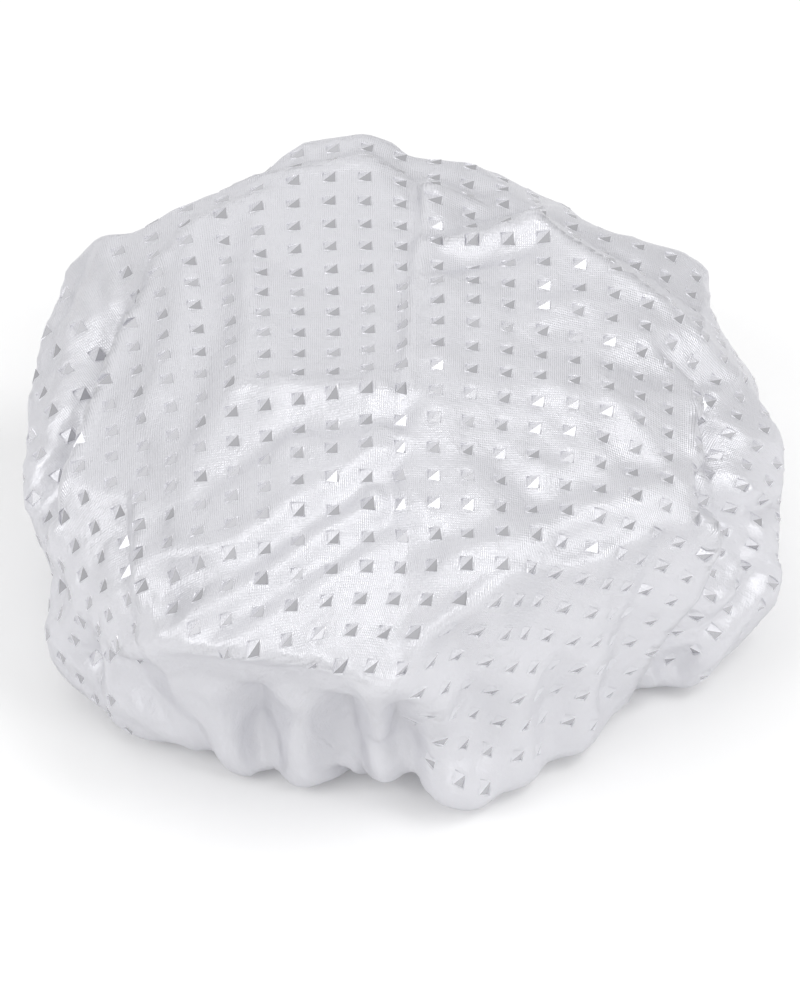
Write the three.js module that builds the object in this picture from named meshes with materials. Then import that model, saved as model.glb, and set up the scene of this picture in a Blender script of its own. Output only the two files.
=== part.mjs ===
// A puffed-up shower cap standing on its mouth: one embossed film disc, gathered at its rim into
// a casing that holds a flat elastic band. Millimetres, +Z up, front of the cap towards -Y.
import * as THREE from 'three';
import { ConvexHull } from 'three/addons/math/ConvexHull.js';

// The whole film as it stands: across, front to back, and up.
const CAP_WIDTH = 250;
const CAP_DEPTH = 242;
const CAP_HEIGHT = 113;

// Mouth and casing: a narrow strip folded round the elastic, open outwards to take the film's rim.
const MOUTH_DIAMETER = 136;
const MOUTH_CENTRE_Y = -2;
const CASING_WIDTH = 11;
const CASING_HEIGHT = 6;
const CASING_WALL = 0.8;
const CASING_STEPS = 36;

// Elastic: a flat band whose two ends overlap at the back of the mouth and are tacked together.
const ELASTIC_WIDTH = 6;
const ELASTIC_THICKNESS = 1.2;
const ELASTIC_OVERLAP = 15;
const ELASTIC_RAMP = 22;
const ELASTIC_STEPS = 72;
const TACK_MARGIN = 0.5;
const TACK_WIDTH = 2;
const TACK_HEIGHT = 0.6;

// Zigzag thread that closes the casing.
const THREAD_DIAMETER = 0.6;
const ZIGZAG_WIDTH = 5;
const ZIGZAG_COUNT = 54;
const THREAD_SIDES = 5;

// Film: wall with its emboss counted in, how far its rim reaches into the casing, how soft its folds are.
const FILM_WALL = 1.4;
const RIM_INSERT = 3.2;
const RIM_POINTS = 44;
const FOLD_SOFTENING = 0.12;
const SOFTENING_PASSES = 1;

// Gathers round the back: how many, how deep, from which angle to which, and the
// levels of their points as shares of the cap's height and of the depth.
const GATHER_COUNT = 6;
const GATHER_DEPTH = 5.5;
const GATHER_FIRST_DEGREES = 22;
const GATHER_LAST_DEGREES = 142;
const GATHER_LEVELS = [
  { height: 0, depth: 0.9 },
  { height: 0.2, depth: 1 },
  { height: 0.45, depth: 0.65 },
  { height: 0.68, depth: 0.25 },
];

// Gap kept between pieces that touch on the real cap.
const CLEARANCE = 0.3;

// How far up the crown the point lies that sees every fold of the film.
const HEART_SHARE = 0.69;

// The folds of the film, as points that its skin passes through: across, away from the front, up.
// The film's width, depth and height stretch them all together.
const FOLDS = {
  backPeak: [-13, 121, 103],
  backPeakLeft: [-35, 116, 101],
  backShoulderLeft: [-53, 94, 101],
  backRimLeft: [-75, 84, 97],
  backRimOuter: [-89, 77, 91],
  backBump: [22, 106, 100],
  backDip: [5, 106, 101],
  backRimRight: [52, 84, 97],
  backRimFar: [68, 73, 94],
  backCornerRight: [95, 74, 86],
  backCornerOuter: [101, 75, 79],
  crestLeft: [-35, 88, 108],
  crestMiddle: [-13, 92, 110],
  crestFall: [8, 75, 110],
  pinchStart: [8, 46, 108],
  pinchMiddle: [24, 47, 111],
  pinchPeak: [42, 54, 113],
  pinchHollow: [24, 73, 104],
  pinchHollowRight: [41, 78, 102],
  pinchFront: [21, 39, 107],
  crestRight: [55, 42, 111],
  crestHigh: [69, 32, 107],
  crestLow: [82, 26, 100],
  crestEnd: [95, 21, 90],
  behindCrest: [64, 56, 100],
  behindCrestLow: [82, 53, 92],
  behindCrestEnd: [94, 50, 83],
  panelBackLeft: [-47, 71, 106],
  panelBackRight: [3, 66, 108],
  panelMiddleLeft: [-49, 27, 105],
  panelMiddle: [-24, 26, 104.5],
  panelMiddleRight: [3, 19, 107.5],
  panelFrontLeft: [-51, -21, 104],
  panelFront: [-23, -27, 108],
  panelFrontRight: [1, -31, 107],
  leftFaceHigh: [-66, 69, 101],
  leftFaceMiddle: [-64, 27, 101],
  leftFaceLow: [-68, -11, 98],
  leftFaceOuter: [-80, 14, 93],
  leftFaceBase: [-81, -17, 87],
  bulgeTop: [-79, 53, 96],
  bulgeHigh: [-87, 37, 92],
  bulgeMiddle: [-95, 18, 88],
  bulgeLow: [-101, -6, 82],
  bulgeBase: [-107, -29, 75],
  bulgeFoot: [-113, -38, 55],
  leftLobeTop: [-102, 85, 84],
  leftLobeCrown: [-110, 87, 79],
  leftLobeHigh: [-115, 80, 75],
  leftLobeUpper: [-120, 61, 69],
  leftLobeMiddle: [-124, 40, 62],
  leftLobeSide: [-125, 24, 56],
  leftLobeOuter: [-126, 10, 49],
  leftLobeLower: [-124, 1, 41],
  leftLobeLow: [-122, -5, 34],
  frontLeftHigh: [-62, -40, 96],
  frontMiddleHigh: [-35, -45, 102],
  frontRightHigh: [-10, -47, 104],
  ridgeTop: [-82, -51, 81],
  ridgeMiddle: [-79, -75, 73],
  ridgeLeft: [-91, -50, 70],
  ridgeLeftLow: [-93, -68, 57],
  ridgeRight: [-71, -65, 85],
  ridgeRightLow: [-67, -89, 73],
  wrinkleStart: [-6, -58, 101],
  wrinkleMiddle: [-32, -70, 96.5],
  wrinkleEnd: [-57, -83, 86],
  wrinkleUnderStart: [-9, -73, 95],
  wrinkleUnderMiddle: [-32, -83, 90.5],
  wrinkleUnderEnd: [-49, -96, 79.5],
  creaseMiddle: [-3, -51, 101],
  creaseLow: [-3, -75, 91],
  creaseFront: [-2, -99, 80],
  frontLowMiddle: [-25, -100, 80],
  frontLowRight: [-12, -104, 79],
  brimCorner: [-75, -95, 65],
  brimLeft: [-61, -103, 68],
  brimMiddle: [-44, -109, 71],
  brimRight: [-25, -113, 72],
  brimFar: [-13, -116, 69],
  brimTip: [-4, -118, 65],
  lobeCreaseOuter: [-110, -34, 42],
  lobeCreaseMiddle: [-95, -70, 42],
  lobeCreaseInner: [-78, -87, 48],
  lowLeftOuter: [-115, -48, 27],
  lowLeftEdge: [-114, -50, 13],
  lowLeftFront: [-105, -59, 6],
  lowLeftToe: [-93, -71, 3],
  lowLeftFoot: [-81, -77, 2],
  lowLeftEnd: [-65, -79, 3],
  lowLeftBulge: [-94, -78, 26],
  lowLeftBulgeInner: [-76, -76, 26],
  recessLeft: [-65, -87, 37],
  recessMiddle: [-50, -85, 30],
  recessInner: [-32, -89, 28],
  recessRight: [-17, -96, 29],
  recessEnd: [-5, -104, 32],
  gatherOne: [-52, -88, 3],
  gatherTwo: [-31, -95, 3],
  gatherThree: [-6, -95, 3],
  gatherFour: [20, -107, 2],
  gatherFive: [31, -101, 3],
  gapOne: [-43, -95, 12],
  gapTwo: [-19, -98, 12],
  gapThree: [2, -101, 14],
  rightFaceHigh: [20, 14, 111],
  rightFaceTop: [49, 15, 110],
  rightFaceCorner: [74, 9, 102],
  rightFaceOuterHigh: [95, 0, 85],
  rightFaceMiddle: [20, -25, 107.5],
  rightFaceCentre: [48, -22, 105],
  rightFaceSide: [70, -21, 98],
  rightFaceOuter: [94, -23, 81],
  rightFaceLow: [15, -53, 101.5],
  rightFaceLowMiddle: [41, -53, 98.5],
  rightFaceLowSide: [63, -49, 93],
  rightFaceEnd: [81, -43, 84],
  rightFaceFront: [12, -80, 97],
  rightFaceFrontMiddle: [29, -77, 97],
  rightFaceFrontSide: [47, -69, 91],
  rightFaceFrontEnd: [69, -59, 86],
  rightEdgeTip: [3, -109, 77],
  rightEdgeFront: [18, -103, 85],
  rightEdgePeak: [31, -94, 91],
  rightEdgeMiddle: [53, -79, 80],
  rightEdgeSide: [71, -65, 79],
  rightEdgeEnd: [90, -49, 74],
  wallFront: [10, -108, 50],
  wallHigh: [30, -97, 62],
  wallMiddle: [47, -87, 57],
  wallSide: [67, -72, 56],
  wallLow: [35, -94, 30],
  wallLowSide: [58, -78, 28],
  wallFoot: [8, -104, 21],
  wallToe: [45, -90, 3],
  wallEdgeHigh: [100, -46, 64],
  wallEdgeMiddle: [90, -54, 44],
  wallEdgeLow: [77, -61, 27],
  wallEdgeFoot: [60, -79, 3],
  lowRightNotch: [70, -60, 6],
  rightFacet: [99, -2, 75],
  rightLobeTop: [114, 23, 67],
  rightLobeHigh: [122, 8, 59],
  rightLobeOuter: [124, -3, 47],
  rightFacetLow: [107, -16, 62],
  rightValley: [96, -34, 59],
  rightNotch: [119, -22, 33],
  rightNotchInner: [108, -32, 40],
  lowRightOuter: [121, -26, 20],
  lowRightBulge: [103, -45, 36],
  lowRightFront: [109, -37, 8],
  lowRightMiddle: [94, -53, 22],
  lowRightFoot: [92, -50, 3],
  lowRightInner: [80, -57, 8],
  rightRim: [104, 40, 73],
  rightBackHigh: [112, 46, 58],
  rightBackLobe: [120, 34, 36],
  rightBackFoot: [106, 40, 3],
  backRightValley: [98, 68, 34],
  backRightLobe: [96, 90, 50],
  backRightFoot: [82, 78, 3],
  backRightFold: [66, 98, 36],
  backMiddleHigh: [50, 108, 82],
  backMiddleLobe: [44, 118, 48],
  backMiddleFoot: [42, 98, 3],
  backMiddleFold: [16, 112, 38],
  backCentreLobe: [-10, 124, 60],
  backCentreFoot: [-8, 108, 3],
  backLeftFold: [-40, 108, 40],
  backLeftLobe: [-64, 110, 58],
  backLeftFoot: [-56, 96, 3],
  leftBackFold: [-84, 86, 40],
  leftBackLobe: [-108, 72, 50],
  leftBackFoot: [-92, 68, 3],
  leftSideFoot: [-112, 16, 4],
  leftSideToe: [-108, -20, 3],
  rightSideFoot: [114, 4, 4],
  leftHollowTop: [-84, 42, 86],
  leftHollowHigh: [-87, 26, 77],
  leftHollowMiddle: [-93, 9, 70],
  leftHollowLow: [-101, -1, 55],
  rightHollowTop: [87, 7, 84],
  rightHollowHigh: [83, -9, 78],
  rightHollowMiddle: [84, -23, 70],
  rightHollowLow: [91, -30, 55],
  lobeHollowHigh: [93, -34, 46],
  lobeHollowMiddle: [89, -46, 39],
  lobeHollowLow: [77, -52, 26],
  lobeHollowFoot: [71, -56, 12],
  lowLeftHollowOuter: [-108, -41, 40],
  lowLeftHollowMiddle: [-100, -60, 45],
  lowLeftHollowInner: [-91, -75, 44],
  lowLeftHollowEnd: [-75, -82, 46],
  petalOne: [-58, -86, 18],
  petalTwo: [-37, -94, 21],
  petalThree: [-14, -100, 24],
  petalGapOne: [-44, -86, 25],
  petalGapTwo: [-23, -90, 26],
  petalGapThree: [-2, -100, 31],
  wallFoldHigh: [22, -99, 50],
  wallFoldMiddle: [38, -95, 41],
  wallFoldLow: [46, -85, 32],
  leftLobeFold: [-114, 49, 72],
  rightFacetRidge: [111, -2, 66],
  pinchFrontHollow: [26, 37, 109],
  wrinkleHighRidge: [-23, -50, 103],
  wrinkleHighHollow: [-25, -60, 99],
  creaseStepBack: [11, 60, 110],
  creaseStepMiddle: [12, 20, 111.5],
  creaseStepFront: [10, -12, 110.5],
  creaseStepEnd: [9, -34, 108],
  panelEdgeLeft: [-37, -25, 107.5],
  panelEdgeRight: [-11, -30, 109.5],
  underEdgeLeft: [-45, -37, 99],
  underEdgeMiddle: [-24, -39, 102],
  underEdgeRight: [-8, -41, 103.5],
  rightFaceDipHigh: [35, 16, 108.5],
  rightFaceDipMiddle: [34, -24, 104.5],
  rightFaceDipLow: [28, -52, 98],
  rightFaceDipFarHigh: [62, 12, 104.5],
  rightFaceDipFarMiddle: [59, -22, 100.5],
  rightFaceDipFarLow: [52, -51, 94.5],
  lowLeftTuckOuter: [-95, -59, 31],
  lowLeftTuckMiddle: [-82, -74, 39],
  lowLeftRidgeInner: [-82, -79, 18],
  leftHollowUpper: [-86, 34, 82],
  leftHollowCentre: [-90, 18, 74],
  leftHollowLower: [-97, 4, 62],
  rightHollowUpper: [85, -1, 81],
  rightHollowCentre: [84, -16, 74],
  rightHollowLower: [88, -26, 62],
  lobeHollowUpper: [91, -40, 42],
  lobeHollowLower: [83, -49, 32],
  rightFaceDipUpper: [34, -4, 106],
  rightFaceDipLower: [31, -38, 101],
  rightFaceDipFarUpper: [60, -5, 102],
  rightFaceDipFarLower: [56, -36, 98],
  underEdgeInner: [-34, -38, 100],
  underEdgeOuter: [-16, -40, 103],
};

// Sizes that follow from the ones above.
const mouthRadius = MOUTH_DIAMETER / 2;
const casingOuterRadius = mouthRadius + CASING_WIDTH;
const cavityFloor = CASING_WALL;
const elasticInnerRadius = mouthRadius + CASING_WALL + CLEARANCE;
const elasticOuterRadius = elasticInnerRadius + ELASTIC_WIDTH;
const elasticMiddleRadius = (elasticInnerRadius + elasticOuterRadius) / 2;
const elasticFloor = cavityFloor + CLEARANCE;
const elasticLayer = ELASTIC_THICKNESS + CLEARANCE;
const filmInsideRadius = casingOuterRadius - RIM_INSERT;
const rimHeight = (CASING_HEIGHT - FILM_WALL) / 2;
const crownHeart = new THREE.Vector3(0, 0, CAP_HEIGHT * HEART_SHARE);
const TURN = 2 * Math.PI;
const BACK = Math.PI / 2;

const FILM = new THREE.MeshStandardMaterial({ color: 0xe6e6eb, roughness: 0.35, metalness: 0 });
const CASING = new THREE.MeshStandardMaterial({ color: 0xebebef, roughness: 0.55, metalness: 0 });
const ELASTIC = new THREE.MeshStandardMaterial({ color: 0xf0efea, roughness: 0.8, metalness: 0 });
const THREAD = new THREE.MeshStandardMaterial({ color: 0xf4f4f4, roughness: 0.7, metalness: 0 });

// A point of the mouth's ring by angle, radius and height.
function ringPoint(angle, radius, height) {
  return new THREE.Vector3(
    radius * Math.cos(angle),
    MOUTH_CENTRE_Y + radius * Math.sin(angle),
    height,
  );
}

// A mesh from corner points and index triples.
function solid(name, material, points, triangles) {
  const geometry = new THREE.BufferGeometry();
  geometry.setAttribute('position', new THREE.Float32BufferAttribute(points.flatMap((p) => p.toArray()), 3));
  geometry.setIndex(triangles.flat());
  geometry.computeVertexNormals();
  const mesh = new THREE.Mesh(geometry, material);
  mesh.name = name;
  return mesh;
}

// Joins rings of points into one closed body, with an end face on each end unless the rings close up.
function sweep(name, material, section, rings, closed) {
  const sides = section.length;
  const triangles = [];
  const spans = closed ? rings.length : rings.length - 1;
  for (let ring = 0; ring < spans; ring += 1) {
    const next = (ring + 1) % rings.length;
    for (let side = 0; side < sides; side += 1) {
      const beside = (side + 1) % sides;
      const a = ring * sides + side;
      const b = ring * sides + beside;
      const c = next * sides + side;
      const d = next * sides + beside;
      triangles.push([a, d, b], [a, c, d]);
    }
  }
  if (!closed) {
    const last = (rings.length - 1) * sides;
    for (const [a, b, c] of THREE.ShapeUtils.triangulateShape(section, [])) {
      triangles.push([a, b, c], [last + a, last + c, last + b]);
    }
  }
  return solid(name, material, rings.flat(), triangles);
}

// The casing's section: radius across, height up, a U that opens outwards.
function casingSection() {
  const inner = mouthRadius;
  const outer = casingOuterRadius;
  return [
    [inner, 0],
    [outer, 0],
    [outer, CASING_WALL],
    [inner + CASING_WALL, CASING_WALL],
    [inner + CASING_WALL, CASING_HEIGHT - CASING_WALL],
    [outer, CASING_HEIGHT - CASING_WALL],
    [outer, CASING_HEIGHT],
    [inner, CASING_HEIGHT],
  ].map(([radius, height]) => new THREE.Vector2(radius, height));
}

// One half of the casing, from one side of the mouth round to the other.
function casingHalf(name, startAngle) {
  const section = casingSection();
  const gapAngle = CLEARANCE / 2 / mouthRadius;
  const rings = [];
  for (let step = 0; step <= CASING_STEPS; step += 1) {
    const angle = startAngle + gapAngle + (step / CASING_STEPS) * (Math.PI - 2 * gapAngle);
    rings.push(section.map((corner) => ringPoint(angle, corner.x, corner.y)));
  }
  return sweep(name, CASING, section, rings, false);
}

// The elastic runs once round the mouth, and its last stretch climbs on to its first.
function elasticBand() {
  const section = [
    new THREE.Vector2(elasticInnerRadius, 0),
    new THREE.Vector2(elasticOuterRadius, 0),
    new THREE.Vector2(elasticOuterRadius, ELASTIC_THICKNESS),
    new THREE.Vector2(elasticInnerRadius, ELASTIC_THICKNESS),
  ];
  const overlapAngle = ELASTIC_OVERLAP / elasticMiddleRadius;
  const rampAngle = ELASTIC_RAMP / elasticMiddleRadius;
  const sweepAngle = TURN + overlapAngle;
  const rings = [];
  for (let step = 0; step <= ELASTIC_STEPS; step += 1) {
    const along = (step / ELASTIC_STEPS) * sweepAngle;
    const climb = THREE.MathUtils.smoothstep(along, TURN - rampAngle, TURN - rampAngle / 4);
    const angle = BACK - overlapAngle / 2 + along;
    const lift = elasticFloor + climb * elasticLayer;
    rings.push(section.map((corner) => ringPoint(angle, corner.x, corner.y + lift)));
  }
  return sweep('elastic_band', ELASTIC, section, rings, false);
}

// The bar of stitches that holds the elastic's overlapped ends.
function elasticTack() {
  const length = ELASTIC_WIDTH - 2 * TACK_MARGIN;
  const tack = new THREE.Mesh(new THREE.BoxGeometry(TACK_WIDTH, length, TACK_HEIGHT), THREAD);
  const top = elasticFloor + elasticLayer + ELASTIC_THICKNESS;
  tack.position.copy(ringPoint(BACK, elasticMiddleRadius, top + CLEARANCE / 2 + TACK_HEIGHT / 2));
  tack.name = 'elastic_tack';
  return tack;
}

// One unbroken thread that zigzags round the top of the casing.
function hemThread() {
  const radius = THREAD_DIAMETER / 2;
  const section = [];
  for (let side = 0; side < THREAD_SIDES; side += 1) {
    const turn = (side / THREAD_SIDES) * TURN;
    section.push(new THREE.Vector2(Math.cos(turn) * radius, Math.sin(turn) * radius));
  }
  const middle = (mouthRadius + casingOuterRadius) / 2;
  const height = CASING_HEIGHT + CLEARANCE / 2 + radius;
  const rings = [];
  for (let stitch = 0; stitch < 2 * ZIGZAG_COUNT; stitch += 1) {
    const angle = (stitch / (2 * ZIGZAG_COUNT)) * TURN;
    const across = middle + (stitch % 2 ? ZIGZAG_WIDTH / 2 : -ZIGZAG_WIDTH / 2);
    rings.push(section.map((corner) => ringPoint(angle, across + corner.x, height + corner.y)));
  }
  return sweep('hem_thread', THREAD, section, rings, true);
}

// The fold points, stretched to the film's width, depth and height.
function fittedFolds() {
  const folds = Object.values(FOLDS).map((fold) => new THREE.Vector3(...fold));
  const drawn = new THREE.Box3().setFromPoints(folds);
  const size = drawn.getSize(new THREE.Vector3());
  const foot = drawn.getCenter(new THREE.Vector3()).setZ(0);
  const stretch = new THREE.Vector3(CAP_WIDTH / size.x, CAP_DEPTH / size.y, CAP_HEIGHT / drawn.max.z);
  return folds.map((fold) => fold.sub(foot).multiply(stretch).add(foot));
}

// Triangles between the fold points, found by looking at them all from the crown's heart.
function filmTriangles(points) {
  const seen = points.map((point) => point.clone().sub(crownHeart).normalize());
  const indexOf = new Map(seen.map((direction, index) => [direction, index]));
  const triangles = [];
  for (const face of new ConvexHull().setFromPoints(seen).faces) {
    const corners = [];
    let edge = face.edge;
    do {
      corners.push(indexOf.get(edge.head().point));
      edge = edge.next;
    } while (edge !== face.edge);
    triangles.push(corners);
  }
  return triangles.filter((corners) => corners.some((corner) => corner >= RIM_POINTS));
}

// Where the film's skin lies between the crown's heart and a point outside it.
function skinPoint(points, triangles, outside) {
  const ray = new THREE.Ray(crownHeart, outside.clone().sub(crownHeart).normalize());
  const place = new THREE.Vector3();
  triangles.some(([a, b, c]) => ray.intersectTriangle(points[a], points[b], points[c], false, place));
  return place;
}

// The gathers that the elastic draws into the film, ridges and hollows by turns.
function gatherPoints(points) {
  const triangles = filmTriangles(points);
  const first = THREE.MathUtils.degToRad(GATHER_FIRST_DEGREES);
  const last = THREE.MathUtils.degToRad(GATHER_LAST_DEGREES);
  const gathers = [];
  for (let fold = 0; fold <= 2 * GATHER_COUNT; fold += 1) {
    const angle = THREE.MathUtils.lerp(first, last, fold / (2 * GATHER_COUNT));
    for (const { height, depth } of GATHER_LEVELS) {
      const place = skinPoint(points, triangles, ringPoint(angle, CAP_WIDTH / 2, CAP_HEIGHT * height));
      const outwards = place.clone().sub(crownHeart).normalize();
      gathers.push(place.addScaledVector(outwards, (fold % 2 ? -1 : 1) * depth * GATHER_DEPTH));
    }
  }
  return gathers;
}

// Splits every triangle in four at the middles of its edges.
function split(points, triangles) {
  const middles = new Map();
  const middle = (a, b) => {
    const key = a < b ? `${a}/${b}` : `${b}/${a}`;
    if (!middles.has(key)) {
      middles.set(key, points.length);
      points.push(points[a].clone().add(points[b]).multiplyScalar(0.5));
    }
    return middles.get(key);
  };
  return triangles.flatMap(([a, b, c]) => {
    const [ab, bc, ca] = [middle(a, b), middle(b, c), middle(c, a)];
    return [[a, ab, ca], [ab, b, bc], [ca, bc, c], [ab, bc, ca]];
  });
}

// The open edge of the film, as the next point along it from each of its points.
function openEdge(triangles) {
  const sides = new Map();
  for (const [a, b, c] of triangles) {
    for (const [from, to] of [[a, b], [b, c], [c, a]]) {
      sides.set(`${from}/${to}`, [from, to]);
    }
  }
  const next = new Map();
  for (const [from, to] of sides.values()) {
    if (!sides.has(`${to}/${from}`)) next.set(from, to);
  }
  return next;
}

// Moves each point part of the way to the mean of its neighbours, and leaves the rim alone.
function soften(points, triangles, fixed) {
  const neighbours = points.map(() => new Set());
  for (const [a, b, c] of triangles) {
    neighbours[a].add(b).add(c);
    neighbours[b].add(c).add(a);
    neighbours[c].add(a).add(b);
  }
  const means = neighbours.map((near) => {
    const mean = new THREE.Vector3();
    near.forEach((index) => mean.add(points[index]));
    return mean.divideScalar(near.size);
  });
  points.forEach((point, index) => {
    if (!fixed.has(index)) point.lerp(means[index], FOLD_SOFTENING);
  });
}

// The film: its skin through the folds, a second skin a wall further in, and its rim in the casing.
function crownFilm() {
  const points = [];
  for (let step = 0; step < RIM_POINTS; step += 1) {
    points.push(ringPoint((step / RIM_POINTS) * TURN, casingOuterRadius + CLEARANCE, rimHeight));
  }
  points.push(...fittedFolds());
  points.push(...gatherPoints(points));
  const triangles = split(points, filmTriangles(points));
  const edge = openEdge(triangles);
  for (let pass = 0; pass < SOFTENING_PASSES; pass += 1) soften(points, triangles, edge);

  const skin = points.length;
  const all = [...points];
  for (const point of points) {
    const inwards = crownHeart.clone().sub(point).normalize();
    all.push(point.clone().addScaledVector(inwards, FILM_WALL));
  }
  const faces = [...triangles, ...triangles.map(([a, b, c]) => [skin + a, skin + c, skin + b])];

  const inside = new Map();
  for (const from of edge.keys()) {
    const angle = Math.atan2(points[from].y - MOUTH_CENTRE_Y, points[from].x);
    inside.set(from, all.length);
    all.push(ringPoint(angle, filmInsideRadius, rimHeight));
    all.push(ringPoint(angle, filmInsideRadius, rimHeight + FILM_WALL));
  }
  for (const [from, to] of edge) {
    const low = inside.get(from);
    const lowNext = inside.get(to);
    faces.push([to, from, low], [to, low, lowNext]);
    faces.push([lowNext, low, low + 1], [lowNext, low + 1, lowNext + 1]);
    faces.push([skin + from, skin + to, lowNext + 1], [skin + from, lowNext + 1, low + 1]);
  }
  return solid('crown_film', FILM, all, faces);
}

const cap = new THREE.Group();
cap.add(crownFilm());
cap.add(casingHalf('hem_casing_back', 0));
cap.add(casingHalf('hem_casing_front', Math.PI));
cap.add(elasticBand());
cap.add(elasticTack());
cap.add(hemThread());

// The cap stands with the middle of its outline over the origin.
const outline = new THREE.Box3().setFromObject(cap);
cap.position.x = -(outline.min.x + outline.max.x) / 2;
cap.position.y = -(outline.min.y + outline.max.y) / 2;
cap.updateMatrixWorld(true);

export default cap;
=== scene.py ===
# %% [markdown]
# A puffed white shower cap stands on its mouth. It is one round sheet of embossed film, and an
# elastic in a narrow casing gathers the sheet's rim. This lesson lays that flat sheet over the
# folds of the CAD model, so its grid of raised studs bends with every crease as on the real cap.

# %% Load the frame and read the hem's sizes
import math

import bpy
import numpy as np
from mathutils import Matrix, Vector, noise
from mathutils.bvhtree import BVHTree


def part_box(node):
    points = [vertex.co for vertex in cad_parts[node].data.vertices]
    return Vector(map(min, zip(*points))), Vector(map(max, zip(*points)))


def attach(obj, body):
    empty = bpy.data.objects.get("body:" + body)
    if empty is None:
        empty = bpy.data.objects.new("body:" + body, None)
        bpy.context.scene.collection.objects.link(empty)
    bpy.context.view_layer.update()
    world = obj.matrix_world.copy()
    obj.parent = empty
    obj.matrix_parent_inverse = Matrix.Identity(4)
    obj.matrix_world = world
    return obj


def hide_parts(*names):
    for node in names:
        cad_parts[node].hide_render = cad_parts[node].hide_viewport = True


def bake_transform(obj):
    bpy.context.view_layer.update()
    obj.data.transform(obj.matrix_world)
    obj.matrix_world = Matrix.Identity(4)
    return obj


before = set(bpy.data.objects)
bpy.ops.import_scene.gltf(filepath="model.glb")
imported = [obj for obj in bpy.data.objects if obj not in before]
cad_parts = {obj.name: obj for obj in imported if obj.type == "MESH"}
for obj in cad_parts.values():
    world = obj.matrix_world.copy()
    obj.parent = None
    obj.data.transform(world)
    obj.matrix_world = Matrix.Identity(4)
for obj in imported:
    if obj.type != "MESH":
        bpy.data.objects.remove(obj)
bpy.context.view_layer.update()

front_low, front_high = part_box("hem_casing_front")
back_low, back_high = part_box("hem_casing_back")
MOUTH_X = (front_low.x + front_high.x) / 2
MOUTH_Y = (front_low.y + back_high.y) / 2
HEM_RADIUS = (front_high.x - front_low.x) / 2
HEM_HEIGHT = front_high.z
print("mouth at", round(MOUTH_X, 4), round(MOUTH_Y, 4), "hem radius", round(HEM_RADIUS, 4))

# %% [markdown]
# Film this thin hardly stretches, so the flat sheet comes first and the folds second. Cloth
# simulation could crumple a disc, but its creases would fall by chance. Here the sheet is a square
# lattice of points, which slides over the CAD folds until its threads have their true lengths.

# %% The flat sheet
STUD_PITCH = 0.0112
CELLS_PER_PITCH = 5
FINE_CELL = STUD_PITCH / CELLS_PER_PITCH
COARSE_CELL = 2 * FINE_CELL
SHEET_RADIUS = 0.230
HEM_TUCK = 0.004
CROWN_POLE = Vector((MOUTH_X, MOUTH_Y + 0.002, 0.078))

lattice_reach = math.ceil(SHEET_RADIUS / COARSE_CELL) + 2
coarse_line = np.arange(-lattice_reach, lattice_reach + 1) * COARSE_CELL
flat_x, flat_y = np.meshgrid(coarse_line, coarse_line, indexing="ij")
flat_radius = np.hypot(flat_x, flat_y)
flat_angle = np.arctan2(flat_y, flat_x)
in_sheet = flat_radius <= SHEET_RADIUS + 1.5 * COARSE_CELL
print("flat sheet", round(2 * SHEET_RADIUS, 3), "m across,", int(in_sheet.sum()), "lattice points")

# %% [markdown]
# The CAD film is a closed solid with two skins. Only its outer skin matters here. Rays from
# outside, aimed at a pole inside the crown, trace that skin along meridians from the top to the
# hem, and the lengths of those meridians place every lattice point for a first guess.

# %% Meridians of the folded crown
MERIDIANS = 180
MERIDIAN_STEPS = 100
OUTSIDE = 0.3
LAST_TILT = math.atan2(HEM_RADIUS, HEM_HEIGHT / 2 - CROWN_POLE.z)

film_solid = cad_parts["crown_film"]
solid_points = [vertex.co.copy() for vertex in film_solid.data.vertices]
outer_faces = []
for face in film_solid.data.polygons:
    if face.normal.dot(face.center - CROWN_POLE) > 0:
        outer_faces.append(tuple(face.vertices))
skin = BVHTree.FromPolygons(solid_points, outer_faces)

meridian = np.zeros((MERIDIANS, MERIDIAN_STEPS + 1, 3))
for turn in range(MERIDIANS):
    across = math.cos(turn / MERIDIANS * 2 * math.pi)
    away = math.sin(turn / MERIDIANS * 2 * math.pi)
    for step in range(MERIDIAN_STEPS + 1):
        tilt = LAST_TILT * step / MERIDIAN_STEPS
        ray = Vector((across * math.sin(tilt), away * math.sin(tilt), math.cos(tilt)))
        place = skin.ray_cast(CROWN_POLE + ray * OUTSIDE, -ray, OUTSIDE)[0]
        if place is None:
            place = Vector(meridian[turn, step - 1])
        meridian[turn, step] = place
meridian_length = np.zeros((MERIDIANS, MERIDIAN_STEPS + 1))
steps_apart = np.linalg.norm(np.diff(meridian, axis=1), axis=2)
meridian_length[:, 1:] = np.cumsum(steps_apart, axis=1)
whole_lengths = meridian_length[:, -1]
print("meridians", whole_lengths.min().round(3), "to", whole_lengths.max().round(3), "m,",
      "mean", whole_lengths.mean().round(3))

# %% [markdown]
# A point of the flat sheet goes as far along its meridian as it lies out from the sheet's middle.
# The photo's front right wall is smooth, with its studs in wide columns, so there the sheet is
# fanned out before it goes on.

# %% First guess
SMOOTH_WALL_ANGLE = math.radians(-56)
SMOOTH_WALL_HALF = math.radians(22)
SMOOTH_WALL_FADE = math.radians(20)
WALL_SPREAD = 2.19
WALL_SPREAD_START = 0.457
WALL_SPREAD_MOST = 0.4
WALL_SPREAD_ANGLE = math.radians(44)
WALL_SPREAD_POWER = 2.5
RIM_START = 0.86
RIM_FADE = 0.12


def smooth_step(value):
    value = np.clip(value, 0, 1)
    return value * value * (3 - 2 * value)


def from_smooth_wall(angle):
    return (angle - SMOOTH_WALL_ANGLE + math.pi) % (2 * math.pi) - math.pi


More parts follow.
